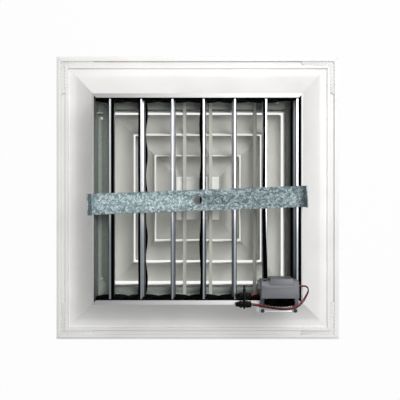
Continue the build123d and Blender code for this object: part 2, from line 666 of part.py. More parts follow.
def bracket_holes():
    """Holes for the rivets that hold the bracket on the casing's front wall."""
    return [rod_y(x, RIM_Z - BRACKET_DROP / 2, RIVET_D / 2 + PRESS_PLAY, FRONT - 2 * BRACKET_T, -INNER + PAST)
            for x in bracket_spots()]


def make_bracket():
    x0 = BOX_X0 - BRACKET_SIDE
    x1 = BOX_X1 + BRACKET_SIDE
    wall = box(x0, x1, FRONT - BRACKET_T, FRONT, RIM_Z - BRACKET_DROP, RIM_Z)
    shelf = box(x0, x1, FRONT - BRACKET_FLANGE, FRONT, RIM_Z, RIM_Z + BRACKET_T)
    clear = [rod_y(x, AXIS_Z, BUSH_D / 2 + PAST, FRONT - 2 * BRACKET_T, FRONT + PAST) for x in BLADE_X]
    screws = [rod_z(x, FRONT - BRACKET_SCREW_OUT, SCREW_D / 2 + PRESS_PLAY, RIM_Z - PAST,
                    RIM_Z + BRACKET_T + PAST) for x in bracket_spots()]
    save("actuator_bracket", wall + shelf - clear - screws - bracket_holes())


def bracket_rivet(x):
    """A rivet through the bracket and the casing's front wall."""
    z = RIM_Z - BRACKET_DROP / 2
    face = FRONT - BRACKET_T
    return rod_y(x, z, RIVET_D / 2, face, -INNER) + rod_y(x, z, RIVET_HEAD_D / 2, face - RIVET_HEAD_H, face)


def bracket_screw(x):
    """A screw through a housing foot and the bracket's shelf, with its nut below."""
    y = FRONT - BRACKET_SCREW_OUT
    top = RIM_Z + BRACKET_T + FOOT_T
    shank = rod_z(x, y, SCREW_D / 2, RIM_Z - BRACKET_SCREW_L, top)
    head = rod_z(x, y, SCREW_HEAD_D / 2, top, top + SCREW_HEAD_H)
    nut = rod_z(x, y, SCREW_HEAD_D / 2, RIM_Z - BRACKET_NUT_H, RIM_Z)
    return shank + head + nut


def cover_screw_spots():
    """(x, z) of the screws that hold the cover, at two opposite corners."""
    return [(BOX_X0 + COVER_SCREW_TOP, BOX_Z1 - COVER_SCREW_TOP),
            (BOX_X1 - COVER_SCREW_LOW, BOX_Z0 + COVER_SCREW_LOW)]


def cover_screw(x, z):
    """A small screw from the lid's end into the base's post."""
    end = BOX_Y1 + LID_D
    shank = rod_y(x, z, COVER_SCREW_D / 2, BOX_Y0 + COVER_HOLE_START + PAST, end)
    return shank + rod_y(x, z, COVER_HEAD_D / 2, end, end + COVER_HEAD_H)


def cover_post(x, z, y0, y1):
    """A square post for a cover screw."""
    half = COVER_POST / 2
    return box(x - half, x + half, y0, y1, z - half, z + half)


def lead_holes(route):
    """The hole that a lead needs in a housing side wall, along X at the lead's height."""
    half = LEAD_HOLE_W / 2
    for (ax, ay, az), (bx, by, bz) in zip(route, route[1:]):
        for wall in (BOX_X0 + BOX_T / 2, BOX_X1 - BOX_T / 2):
            if min(ax, bx) <= wall <= max(ax, bx):
                t = (wall - ax) / (bx - ax)
                y = ay + t * (by - ay)
                z = az + t * (bz - az)
                return [box(wall - BOX_T, wall + BOX_T, y - half, y + half, z - half, z + half)]
    return []


def make_base():
    """The actuator's base: an open box with two legs, two feet, a latch lug and screw posts."""
    outer = box(BOX_X0, BOX_X1, BOX_Y0, BOX_Y1, BOX_Z0, BOX_Z1)
    outer = chamfer(outer.edges().filter_by(Axis.Y), BOX_CHAMFER)
    groove = box(BOX_X0 - PAST, BOX_X1 + PAST, BOX_Y1 - SEAM_W, BOX_Y1, BOX_Z0 - PAST, BOX_Z1 + PAST)
    groove -= box(BOX_X0 + SEAM_DEEP, BOX_X1 - SEAM_DEEP, BOX_Y1 - SEAM_W, BOX_Y1,
                  BOX_Z0 + SEAM_DEEP, BOX_Z1 - SEAM_DEEP)
    base = outer - groove
    base -= box(BOX_X0 + BOX_T, BOX_X1 - BOX_T, BOX_Y0 + BOX_T, BOX_Y1, BOX_Z0 + BOX_T, BOX_Z1 - BOX_T)
    for x in leg_starts():
        base += box(x, x + LEG_W, FRONT - LEG_OUT, BOX_Y0, BOX_Z0, BOX_Z0 + LEG_H)
    base += box(BOX_X1, leg_starts()[1] + LEG_W, BOX_Y0, BOX_Y0 + 2 * LEG_W, BOX_Z0, BOX_Z0 + LEG_H)
    for x in bracket_spots():
        foot = box(x - FOOT_W / 2, x + FOOT_W / 2, FRONT - BRACKET_FLANGE, FRONT + FOOT_IN,
                   RIM_Z + BRACKET_T, RIM_Z + BRACKET_T + FOOT_T)
        base += foot - rod_z(x, FRONT - BRACKET_SCREW_OUT, SCREW_D / 2 + PRESS_PLAY, RIM_Z, BOX_Z1)
    base -= rod_y(OUT_X, OUT_Z, OUT_SHAFT_D / 2 + RUNNING_FIT, BOX_Y0 - PAST, BOX_Y0 + BOX_T + PAST)
    base += box(BOX_X0 - LUG_W, BOX_X0, BOX_Y1 - LUG_BASE, BOX_Y1, BOX_Z0 + LUG_FOOT, BOX_Z1 - LUG_TOP)
    for route in (LONG_RED, LONG_BLACK, SHORT_RED, SHORT_BLACK):
        base -= lead_holes(route)
    for x, z in cover_screw_spots():
        base += cover_post(x, z, BOX_Y0 + BOX_T, BOX_Y1)
        base -= rod_y(x, z, COVER_SCREW_D / 2 + PRESS_PLAY, BOX_Y0 + COVER_HOLE_START, BOX_Y1 + PAST)
    save("actuator_base", base)


def lid(inset):
    """The cover's shallow lid; its top falls away from the joint. The inset gives its hollow."""
    end = BOX_Y1 + LID_D - inset
    outline = [(BOX_Y1, BOX_Z0 + inset), (BOX_Y1, BOX_Z1 - inset), (end, BOX_Z1 - LID_FALL - inset),
               (end, BOX_Z0 + LID_RISE + inset)]
    return prism_x(outline, BOX_X0 + inset, BOX_X1 - inset)


def motor_block(inset):
    """The raised block on the lid, narrowing to its end. The inset gives its hollow."""
    def section(y, narrow):
        x0 = BOX_X0 + BLOCK_LEFT + narrow + inset
        x1 = BOX_X1 - BLOCK_RIGHT - narrow - inset
        z0 = BOX_Z0 + BLOCK_FOOT + inset
        z1 = BOX_Z1 - BLOCK_LOW - narrow / 2 - inset
        return make_face(Polyline((x0, y, z0), (x1, y, z0), (x1, y, z1), (x0, y, z1), close=True))
    return loft([section(BOX_Y1 + BLOCK_START + inset, 0), section(BOX_Y1 + BLOCK_END - inset, BLOCK_TAPER)])


def make_cover():
    """The actuator's cover: lid, raised block, latch lug and slot, and posts for two screws."""
    shell = lid(0)
    shell = chamfer(shell.edges().filter_by(lambda e: abs((e % 0.5).Y) > 0.8), BOX_CHAMFER)
    cover = shell + motor_block(0) - lid(BOX_T) - motor_block(BOX_T)
    cover += box(BOX_X0 - LUG_W, BOX_X0, BOX_Y1, BOX_Y1 + LUG_COVER, BOX_Z0 + LUG_FOOT, BOX_Z1 - LUG_TOP)
    cover -= box(BOX_X0 - PAST, BOX_X0 + SLOT_L, BOX_Y1 + SEAM_W, BOX_Y1 + SEAM_W + SLOT_W,
                 BOX_Z1 - SLOT_DEEP, BOX_Z1 + PAST)
    for x, z in cover_screw_spots():
        cover += cover_post(x, z, BOX_Y1, BOX_Y1 + LID_D) & lid(0)
        cover -= rod_y(x, z, COVER_SCREW_D / 2 + PRESS_PLAY, BOX_Y1 - PAST, BOX_Y1 + LID_D + PAST)
    save("actuator_cover", cover)


def make_drive():
    """Motor, pinion and the output shaft with its wheel and gear."""
    angle = math.degrees(math.atan2(OUT_Z - AXIS_Z, OUT_X - DRIVE_X))
    step = 360 / GEAR_TEETH
    drive_phase = 0 if DRIVE_BLADE % 2 else step / 2
    nearest = drive_phase + step * round((angle - drive_phase) / step)
    gap = angle + 180 - (nearest - angle) * GEAR_TEETH / OUT_TEETH
    outline = gear_outline(OUT_TEETH, OUT_R, ADDENDUM, DEDENDUM, TOOTH_TIP, TOOTH_ROOT,
                           gap + 180 / OUT_TEETH)
    gear_y0 = -GEAR_Y1 + OUT_INSET / 2
    gear_y1 = -GEAR_Y0 - OUT_INSET
    output = gear_y(OUT_X, OUT_Z, gear_y0, gear_y1, outline)
    output += rod_y(OUT_X, OUT_Z, OUT_SHAFT_D / 2, gear_y1, WHEEL_Y1 + SHAFT_GAP)
    output += rod_y(OUT_X, OUT_Z, OUT_SHAFT_D / 2 + COLLAR_T, gear_y1, BOX_Y0 - SHAFT_GAP)
    small = (SMALL_ADDENDUM, SMALL_DEDENDUM, SMALL_TIP, SMALL_ROOT)
    wheel = gear_outline(WHEEL_TEETH, WHEEL_R, *small, MOTOR_ANGLE)
    output += gear_y(OUT_X, OUT_Z, WHEEL_Y0, WHEEL_Y1, wheel)
    save("output_gear", output)

    pinion = gear_outline(PINION_TEETH, PINION_R, *small, MOTOR_ANGLE + 180 + 180 / PINION_TEETH)
    rotor = gear_y(MOTOR_X, MOTOR_Z, WHEEL_Y0, WHEEL_Y1, pinion)
    rotor += rod_y(MOTOR_X, MOTOR_Z, MOTOR_SHAFT_D / 2, WHEEL_Y1, MOTOR_Y0 + MOTOR_L * MOTOR_SHAFT_SHARE)
    save("motor_pinion", rotor)

    motor = rod_y(MOTOR_X, MOTOR_Z, MOTOR_D / 2, MOTOR_Y0, MOTOR_Y1)
    motor -= rod_y(MOTOR_X, MOTOR_Z, MOTOR_SHAFT_D / 2 + RUNNING_FIT, MOTOR_Y0 - PAST,
                   MOTOR_Y0 + MOTOR_L * MOTOR_BORE_SHARE)
    save("motor", motor)


def make_board():
    board = box(OUT_X - BOARD_LEFT, OUT_X + BOARD_RIGHT, BOARD_Y0, BOARD_Y1,
                BOX_Z0 + BOARD_FOOT, BOX_Z1 - BOARD_TOP)
    chip = box(OUT_X - CHIP_LEFT, OUT_X + CHIP_RIGHT, BOARD_Y1, BOARD_Y1 + CHIP_T,
               BOX_Z0 + CHIP_FOOT, BOX_Z0 + CHIP_TOP)
    save("circuit_board", board + chip)


# ---- leads ----
def lead(name, route):
    """A lead of straight runs and tangent arcs; each arc takes 0.45 of its shorter run."""
    points = [Vector(*p) for p in route]
    radii = []
    for a, b, c in zip(points, points[1:], points[2:]):
        turn = math.radians((b - a).get_angle(c - b))
        shorter = min((b - a).length, (c - b).length)
        radii.append(0.45 * shorter / math.tan(turn / 2))
    path = FilletPolyline(*route, radius=radii)
    start = Plane(origin=path @ 0, z_dir=path % 0)
    tube = sweep(start * Circle(LEAD_D / 2), path=path)
    expected = math.pi * LEAD_D ** 2 / 4 * path.length
    print(name, "length", round(path.length, 1), "tightest", round(min(radii), 1),
          "volume ratio", round(tube.volume / expected, 4))
    save(name, tube)


def plug(y):
    """A two-way plug: body, narrower nose, and a catch on top."""
    z0 = RIM_Z + TIE_T + 2 * TIE_PLAY
    body = box(PLUG_X - PLUG_L + PLUG_NOSE_L, PLUG_X, y - PLUG_W / 2, y + PLUG_W / 2, z0, z0 + PLUG_H)
    nose = box(PLUG_X - PLUG_L, PLUG_X - PLUG_L + PLUG_NOSE_L, y - PLUG_W / 2 + PLUG_NOSE_IN,
               y + PLUG_W / 2 - PLUG_NOSE_IN, z0 + PLUG_NOSE_IN, z0 + PLUG_H - PLUG_NOSE_IN)
    catch_x = PLUG_X - CATCH_BACK
    catch = box(catch_x - CATCH_L, catch_x, y - CATCH_W / 2, y + CATCH_W / 2,
                z0 + PLUG_H, z0 + PLUG_H + CATCH_H)
    return body + nose + catch


def cable_tie():
    """A tie round both plugs, with its head behind them and a short tail."""
    z0 = RIM_Z + TIE_T + TIE_PLAY
    z1 = RIM_Z + TIE_T + 3 * TIE_PLAY + PLUG_H
    y0 = PLUG_FRONT_Y - PLUG_W / 2 - TIE_PLAY
    y1 = PLUG_BACK_Y + PLUG_W / 2 + TIE_PLAY
    x0 = TIE_X - TIE_W / 2
    x1 = TIE_X + TIE_W / 2
    band = box(x0, x1, y0 - TIE_T, y1 + TIE_T, z0 - TIE_T, z1 + TIE_T) - box(x0, x1, y0, y1, z0, z1)
    head_y = y1 + TIE_T + TIE_HEAD
    tail_z = z1 - TIE_HEAD / 2
    head = box(TIE_X - TIE_HEAD / 2, TIE_X + TIE_HEAD / 2, y1 + TIE_T, head_y, z1 - TIE_HEAD, z1)
    return band + head + box(x0, x1, head_y, head_y + TIE_TAIL, tail_z - TIE_T, tail_z)


def make_leads():
    for name, route in (("lead_red_long", LONG_RED), ("lead_black_long", LONG_BLACK),
                        ("lead_red_short", SHORT_RED), ("lead_black_short", SHORT_BLACK)):
        lead(name, route)
    save("plug_front", plug(PLUG_FRONT_Y))
    save("plug_back", plug(PLUG_BACK_Y))
    save("cable_tie", cable_tie())


def main():
    os.makedirs("parts", exist_ok=True)
    make_frame()
    make_casing()
    make_bushes()
    make_blades()
    make_core()
    make_bridge()
    make_bracket()
    make_base()
    make_cover()
    save("actuator_screws", *[bracket_rivet(x) for x in bracket_spots()],
         *[cover_screw(x, z) for x, z in cover_screw_spots()],
         *[bracket_screw(x) for x in bracket_spots()])
    make_drive()
    make_board()
    make_leads()


main()
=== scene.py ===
"""Looks of a square ceiling air diffuser with a geared damper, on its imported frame.

Lengths are written in millimetres and turned to metres by MM where a mesh is filled.
"""
import json
import math
import bmesh
import bpy
import numpy as np
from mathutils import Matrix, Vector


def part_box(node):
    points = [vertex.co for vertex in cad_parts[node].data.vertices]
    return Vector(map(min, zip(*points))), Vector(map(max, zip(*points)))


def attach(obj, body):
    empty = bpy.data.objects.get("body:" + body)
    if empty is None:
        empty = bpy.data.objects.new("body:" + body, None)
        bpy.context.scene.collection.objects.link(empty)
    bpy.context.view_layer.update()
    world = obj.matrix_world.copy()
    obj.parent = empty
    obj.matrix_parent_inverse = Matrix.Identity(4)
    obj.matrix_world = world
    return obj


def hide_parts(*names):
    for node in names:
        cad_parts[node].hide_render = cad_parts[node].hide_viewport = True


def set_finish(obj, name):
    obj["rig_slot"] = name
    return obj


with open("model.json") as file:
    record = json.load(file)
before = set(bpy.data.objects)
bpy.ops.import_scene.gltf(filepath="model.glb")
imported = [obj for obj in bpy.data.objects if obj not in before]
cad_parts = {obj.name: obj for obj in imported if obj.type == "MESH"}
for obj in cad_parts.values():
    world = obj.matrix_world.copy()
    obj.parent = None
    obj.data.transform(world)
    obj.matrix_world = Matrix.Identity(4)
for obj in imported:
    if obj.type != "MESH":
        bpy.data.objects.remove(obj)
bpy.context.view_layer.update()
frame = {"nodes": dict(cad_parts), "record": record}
scene = bpy.context.scene
MM = 0.001


# ---- view ----
def corners(node):
    """Lowest and highest corners of a CAD node, in millimetres."""
    low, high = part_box(node)
    return np.array(low) / MM, np.array(high) / MM


RIM_Z = corners("casing_right")[1][2]
VIEW_ABOVE_RIM = 900.0
EYE_X = 3.6
EYE_Y = 15.8
LENS = 57.06
SENSOR = 36.0
VIEW_SHIFT = -0.0303


def make_camera():
    """A camera that looks straight down at the duct side."""
    data = bpy.data.cameras.new("view")
    data.lens = LENS
    data.sensor_width = SENSOR
    data.shift_y = VIEW_SHIFT
    eye = bpy.data.objects.new("view", data)
    eye.location = (EYE_X * MM, EYE_Y * MM, (RIM_Z + VIEW_ABOVE_RIM) * MM)
    scene.collection.objects.link(eye)
    scene.camera = eye


# ---- leads: the routes of the CAD tubes ----
LEAD_D = 1.6
LONG_RED = [(129.7, -118.2, 117.0), (133.6, -119.6, 115.9), (139.6, -121.2, 114.4),
            (147.0, -121.4, 114.0), (153.2, -121.6, 114.0), (156.4, -127.3, 114.0),
            (152.4, -135.0, 114.0), (146.6, -143.6, 115.2), (138.8, -150.8, 116.8),
            (125.0, -153.4, 117.0), (110.0, -152.4, 116.8), (96.0, -149.9, 116.4),
            (86.4, -147.8, 114.4), (76.05, -147.4, 109.5)]
LONG_BLACK = [(129.7, -118.4, 114.0), (133.0, -121.6, 114.4), (139.0, -122.4, 115.8),
              (146.4, -121.9, 115.9), (152.9, -122.1, 115.9), (156.2, -127.7, 115.9),
              (153.0, -135.6, 115.9), (148.2, -144.7, 115.4), (139.8, -152.4, 115.4),
              (125.4, -155.2, 115.6), (110.0, -154.2, 115.4), (95.6, -151.7, 114.8),
              (85.8, -149.7, 113.2), (76.05, -149.6, 108.4)]
SHORT_RED = [(76.05, -135.5, 109.6), (81.2, -134.4, 110.6), (86.8, -131.4, 112.6),
             (91.7, -127.0, 114.4), (95.2, -121.9, 115.4), (101.0, -118.2, 115.4)]
SHORT_BLACK = [(76.05, -137.7, 108.4), (81.6, -137.0, 108.8), (87.6, -133.2, 110.0),
               (93.1, -128.4, 111.4), (96.8, -122.6, 112.2), (101.6, -118.2, 112.2)]


def make_lead(node, route, slot):
    """One insulated lead: a smooth spline with the route's points as its control points.

    Its half thickness is the points' radius, on a bevel of one metre, so that its box fits it.
    """
    data = bpy.data.curves.new("sleeve_" + node, "CURVE")
    data.dimensions = "3D"
    data.bevel_depth = 1.0
    data.bevel_resolution = 5
    data.resolution_u = 10
    data.use_fill_caps = True
    line = data.splines.new("NURBS")
    line.points.add(len(route) - 1)
    for point, (x, y, z) in zip(line.points, route):
        point.co = (x * MM, y * MM, z * MM, 1)
        point.radius = LEAD_D / 2 * MM
    line.order_u = 3
    line.use_endpoint_u = True
    lead = bpy.data.objects.new("sleeve_" + node, data)
    scene.collection.objects.link(lead)
    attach(lead, "frame")
    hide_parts(node)
    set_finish(lead, slot)
    return lead


# ---- small helpers for materials ----
def colour(code, alpha=1.0):
    """An sRGB hex code as a linear colour."""
    parts = [int(code[i:i + 2], 16) / 255 for i in (1, 3, 5)]
    linear = [c / 12.92 if c <= 0.04045 else ((c + 0.055) / 1.055) ** 2.4 for c in parts]
    return (*linear, alpha)


def add(tree, kind, links=None, **settings):
    """A node with its settings; links maps an input to a value or to another node's output."""
    node = tree.nodes.new(kind)
    for name, value in settings.items():
        setattr(node, name, value)
    for name, value in (links or {}).items():
        if isinstance(value, bpy.types.NodeSocket):
            tree.links.new(value, node.inputs[name])
        else:
            node.inputs[name].default_value = value
    return node


def new_material(name, **sockets):
    """A material with one Principled shader; sockets are its uniform values."""
    mat = bpy.data.materials.new(name)
    mat.use_nodes = True
    tree = mat.node_tree
    shader = tree.nodes["Principled BSDF"]
    for key, value in sockets.items():
        shader.inputs[key.replace("_", " ")].default_value = value
    place = add(tree, "ShaderNodeTexCoord").outputs["Object"]
    return mat, tree, shader, place


def per_mm(size):
    """Texture scale for a feature of that size in millimetres."""
    return 1 / (size * MM)


def stretched(tree, place, x, y, z):
    """Object coordinates scaled unevenly, for patterns drawn out one way."""
    return add(tree, "ShaderNodeMapping", {"Vector": place, "Scale": (x, y, z)}).outputs["Vector"]


def ramp(tree, factor, stops):
    """A colour ramp between hex codes at given places."""
    node = add(tree, "ShaderNodeValToRGB", {"Fac": factor})
    elements = node.color_ramp.elements
    while len(elements) < len(stops):
        elements.new(0.5)
    for element, (at, code) in zip(elements, stops):
        element.position = at
        element.color = colour(code)
    return node.outputs["Color"]


def map_range(tree, value, low, high, to_low, to_high):
    """A value moved from one range to another."""
    node = add(tree, "ShaderNodeMapRange", {"Value": value, "From Min": low, "From Max": high,
                                            "To Min": to_low, "To Max": to_high})
    return node.outputs["Result"]


def bump(tree, shader, height, depth, strength=1.0):
    """Height in the 0 to 1 range as a bump of that depth in millimetres."""
    node = add(tree, "ShaderNodeBump", {"Height": height, "Distance": depth * MM, "Strength": strength})
    tree.links.new(node.outputs["Normal"], shader.inputs["Normal"])


def noise(tree, place, size, detail=2.0, roughness=0.5):
    """Noise with features of that size in millimetres, as a 0 to 1 value."""
    return add(tree, "ShaderNodeTexNoise", {"Vector": place, "Scale": per_mm(size), "Detail": detail,
                                            "Roughness": roughness}).outputs["Fac"]


def blend_bands(tree, place, axis, tint, bands):
    """Blend a colour towards others along an axis; a band is (from, to, share, hex code), in mm."""
    along = add(tree, "ShaderNodeSeparateXYZ", {"Vector": place}).outputs[axis]
    for start, end, share, code in bands:
        amount = map_range(tree, along, start * MM, end * MM, 0, share)
        other = colour(code) if isinstance(code, str) else code
        mix = add(tree, "ShaderNodeMix", {0: amount, 6: tint, 7: other}, data_type="RGBA")
        tint = mix.outputs[2]
    return tint


# ---- materials: sizes in mm; the bands run from one place to another along an axis and paint light and shade by place ----
CLOUD = 60.0            # slow change in the coat's thickness
PEEL = 1.4              # orange peel of a sprayed coat
PEEL_DEPTH = 0.02
DIE_LINE = 0.5          # spacing of the lines that an extrusion die leaves
DIE_STRETCH = 0.01      # their spacing along Y, as a share
DIE_DEPTH = 0.02
SPANGLE_DEPTH = 0.03
SPANGLE_WARP = 0.0035   # how much noise bends the crystals' borders, for a 3 mm crystal
SMALL_CELLS = 0.45      # second set of crystals, as a share of the first one's size
MOTTLE = 12.0           # faint clouds in moulded plastic
RIM_HIGHLIGHT_BAND = (102.2, 102.6)       # painted highlight on the casing's rim, up Z
RIM_HIGHLIGHT_FADE = (60, -130)           # where the rim's painted highlight dulls, along X
FOOT_SHADE_BAND = (58, 55)            # painted shade at the casing's foot, down Z
BACK_WALL_LIGHT_BAND = (132, 146)          # painted light on the casing's back wall, along Y
BLADE_SHADE_BAND = (-10, -50)         # painted shade: where the blades darken towards the front, along Y
FEET_LIGHT_BAND = (-152.6, -153.6)    # painted light on the ends of the actuator's feet, along Y


def powder_coat(name, light, dark, gloss):
    """Polyester powder coat, sprayed and baked: an even satin skin, faintly cloudy, that spreads a
    highlight softly over a fine orange peel."""
    mat, tree, shader, place = new_material(name, Roughness=gloss, IOR=1.5)
    cloud = noise(tree, place, CLOUD, 3.0)
    tree.links.new(ramp(tree, cloud, [(0.35, dark), (0.65, light)]), shader.inputs["Base Color"])
    bump(tree, shader, noise(tree, place, PEEL, 1.0), PEEL_DEPTH)
    return mat


def spangled_zinc(name, size, tones, rough, shine=0.5, paint_light_by_place=False):
    """Zinc that froze as crystals, each with its own tone and sheen: a patchwork that glints cell by
    cell. On the casing's sheet, light and shade are also painted by place: a pale painted highlight on
    its rim that dulls along X, pale painted light on its back wall, and dark painted shade at its foot."""
    mat, tree, shader, place = new_material(name, Metallic=shine)
    warp = add(tree, "ShaderNodeTexNoise", {"Vector": place, "Scale": per_mm(size * 1.5), "Detail": 3.0})
    bent = add(tree, "ShaderNodeMix", {"Factor": SPANGLE_WARP * size / 3, "A": place,
                                       "B": warp.outputs["Color"]}, data_type="VECTOR").outputs[1]
    cells = []
    for share in (1.0, SMALL_CELLS):
        cell = add(tree, "ShaderNodeTexVoronoi", {"Vector": bent, "Scale": per_mm(size * share)})
        split = add(tree, "ShaderNodeSeparateColor", {"Color": cell.outputs["Color"]})
        cells.append(split.outputs["Red"])
    mixed = add(tree, "ShaderNodeMix", {"Factor": 0.4, "A": cells[0], "B": cells[1]}).outputs[0]
    tint = ramp(tree, mixed, tones)
    if paint_light_by_place:
        # painted highlight on the rim that dulls along X, painted light on the back wall, painted shade at
        # the foot
        rim = blend_bands(tree, place, "X", colour("#E6E4E6"), [(*RIM_HIGHLIGHT_FADE, 1.0, "#A9A6AB")])
        tint = blend_bands(tree, place, "Y", tint, [(*BACK_WALL_LIGHT_BAND, 0.75, "#E2E5DB")])
        tint = blend_bands(tree, place, "Z", tint, [(*RIM_HIGHLIGHT_BAND, 0.85, rim), (*FOOT_SHADE_BAND, 0.45, "#55605A")])
    tree.links.new(tint, shader.inputs["Base Color"])
    tree.links.new(map_range(tree, mixed, 0, 1, rough[0], rough[1]), shader.inputs["Roughness"])
    bump(tree, shader, mixed, SPANGLE_DEPTH)
    return mat


def drawn_aluminium(name, light, dark, bands):
    """Mill-finish aluminium, pushed through a die: fine lines along Y that stretch the highlight
    into a soft bright band. The bands paint shade on it by place."""
    mat, tree, shader, place = new_material(name, Metallic=0.9, Roughness=0.34)
    lines = noise(tree, stretched(tree, place, 1.0, DIE_STRETCH, 1.0), DIE_LINE, 3.0)
    tint = blend_bands(tree, place, "Y", ramp(tree, lines, [(0.3, dark), (0.7, light)]), bands)
    tree.links.new(tint, shader.inputs["Base Color"])
    bump(tree, shader, lines, DIE_DEPTH)
    return mat


def moulded(name, tone, dark, gloss, grain=0.6, depth=0.03, sheen=0.5, bands=()):
    """Moulded plastic or rubber: the mould's eroded grain breaks the highlight, and the colour is
    faintly mottled by its flow."""
    mat, tree, shader, place = new_material(name, Roughness=gloss, IOR=1.5, Specular_IOR_Level=sheen)
    mottle = noise(tree, place, MOTTLE, 2.0)
    tint = blend_bands(tree, place, "Y", ramp(tree, mottle, [(0.3, dark), (0.7, tone)]), bands)
    tree.links.new(tint, shader.inputs["Base Color"])
    bump(tree, shader, noise(tree, place, grain, 2.0), depth)
    return mat


def make_materials():
    """One finished material for each of the record's slots, and a copy of the core's coat with painted shade
    for its ribs.
    """
    small = [(0.0, "#90968E"), (0.5, "#A1A7A0"), (1.0, "#B6BBB6")]
    large = [(0.15, "#4C5E62"), (0.5, "#74868A"), (0.85, "#B9C6C8")]
    plated = [(0.0, "#B6B8B6"), (1.0, "#D8DAD8")]
    bright = [(0.0, "#D2D4D4"), (1.0, "#E6E8E8")]
    rolled = [(0.0, "#A8A8A8"), (1.0, "#B8B8B8")]
    return {
        # powder-coated extrusion: clean satin white with soft edges to its highlights
        "frame_paint": powder_coat("white_powder_coat", "#F1F0EF", "#EBEAE9", 0.42),
        # the same coat on thin sheet: a shade warmer and flatter
        "core_paint": powder_coat("off_white_powder_coat", "#F6F6F1", "#EEEEE8", 0.5),
        # the same coat on the ribs with painted shade: greyer, and flatter, so that they recede behind the
        # blades
        "shaded_rib_coat": powder_coat("off_white_shaded_rib_coat", "#C9C8BF", "#BBBAB1", 0.55),
        # painted die-cast keys: a little duller than the rails that hold them
        "cast_key": powder_coat("painted_key", "#EAEAE8", "#DEDEDC", 0.5),
        # hot-dip galvanised sheet with a small spangle: dull grey-green, hardly glinting; on the casing it
        # carries a painted highlight, painted light and painted shade by place
        "galvanised_sheet": spangled_zinc("galvanised_sheet_small_spangle", 1.8, small, (0.5, 0.62), 0.3,
                                          paint_light_by_place=True),
        # hot-dip galvanised strap with a large spangle: blue-grey flakes, light against dark; the
        # spangle is drawn a little finer than full size, as broken crystals
        "galvanised_strap": spangled_zinc("galvanised_strap_large_spangle", 2.4, large, (0.42, 0.62), 0.45),
        # zinc-plated screws and rivets: pale grey with small sharp glints
        "zinc_fastener": spangled_zinc("zinc_plate", 0.8, plated, (0.3, 0.4)),
        # bright zinc on the bracket: nearly white from above
        "bracket_zinc": spangled_zinc("bright_zinc_plate", 1.2, bright, (0.4, 0.5)),
        # blackened steel screws: dark, oily satin
        "blackened_steel": moulded("blackened_steel", "#1E1E1E", "#141414", 0.38, 0.4, 0.01),
        # mill-finish blades: bright bead lines towards the back, and painted shade that turns them bluish
        # grey towards the front
        "mill_aluminium": drawn_aluminium("mill_aluminium", "#E2E4E8", "#CDD0D5",
                                          [(*BLADE_SHADE_BAND, 0.7, "#7E8A93")]),
        # moulded gears and bushes: deep black with almost no sheen
        "black_nylon": moulded("black_nylon", "#030303", "#020202", 0.8, sheen=0.03),
        # extruded rubber seals: the deepest black, matt
        "black_seal": moulded("black_epdm", "#030303", "#020202", 0.85, 0.4, 0.04, 0.03),
        # moulded housing: mid grey with a faint lilac cast, semi-matt; its feet's ends carry pale painted
        # light
        "grey_housing": moulded("grey_abs", "#686A70", "#606368", 0.45, bands=[(*FEET_LIGHT_BAND, 0.8, "#CFD1D2")]),
        # rolled steel can: plain metal grey
        "motor_steel": spangled_zinc("motor_can_steel", 0.6, rolled, (0.3, 0.4)),
        # solder mask on a circuit board: glossy green
        "board_laminate": moulded("solder_mask_green", "#1E5A34", "#184C2C", 0.35),
        # soft extruded sleeves: smooth, with a narrow highlight along the lead
        "red_sleeve": moulded("red_pvc_sleeve", "#B4343A", "#96262C", 0.42, 0.4, 0.01),
        "black_sleeve": moulded("black_pvc_sleeve", "#0C0606", "#060303", 0.5, 0.4, 0.01, 0.2),
        # moulded plugs: black with a low sheen on the ribs
        "black_plug": moulded("black_nylon_plug", "#050505", "#020202", 0.4, sheen=0.12),
    }


def dress_nodes(materials):
    """Give every CAD node its slot's finished material."""
    for part in frame["record"]["subparts"]:
        mesh = frame["nodes"][part["node"]].data
        mesh.materials.clear()
        mesh.materials.append(materials[part["material_slot"]])


# ---- meshes from arrays ----
def make_piece(name, mesh, body, slot, material, *replaced):
    """A piece that rides on a body; its object stays at the origin."""
    mesh.materials.clear()
    mesh.materials.append(material)
    piece = bpy.data.objects.new(name, mesh)
    scene.collection.objects.link(piece)
    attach(piece, body)
    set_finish(piece, slot)
    if replaced:
        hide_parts(*replaced)
    return piece


def ring_faces(rings, around, looped, first):
    """Quads between closed rings of points, numbered from first; the last ring joins the first, or
    both ends get a cap."""
    i, j = np.meshgrid(np.arange(rings if looped else rings - 1), np.arange(around), indexing="ij")
    k = (j + 1) % around
    after = (i + 1) % rings
    quads = np.stack([i * around + j, i * around + k, after * around + k, after * around + j], -1)
    faces = (first + quads.reshape(-1, 4)).tolist()
    if not looped:
        end = np.arange(around)
        faces += [(first + end[::-1]).tolist(), (first + (rings - 1) * around + end).tolist()]
    return faces


def mesh_of(name, shells, smooth_under=40.0, looped=False):
    """One mesh from shells, each an array (rings, around, 3) in millimetres, with outward faces."""
    counts = [shell.shape[0] * shell.shape[1] for shell in shells]
    starts = np.cumsum([0] + counts[:-1])
    points = np.concatenate([shell.reshape(-1, 3) for shell in shells]) * MM
    faces = []
    for shell, first in zip(shells, starts):
        faces += ring_faces(shell.shape[0], shell.shape[1], looped, first)
    mesh = bpy.data.meshes.new(name)
    mesh.from_pydata(points.tolist(), [], faces)
    work = bmesh.new()
    work.from_mesh(mesh)
    bmesh.ops.recalc_face_normals(work, faces=work.faces)
    work.to_mesh(mesh)
    work.free()
    mesh.polygons.foreach_set("use_smooth", np.ones(len(mesh.polygons), bool))
    mesh.set_sharp_from_angle(angle=math.radians(smooth_under))
    return mesh


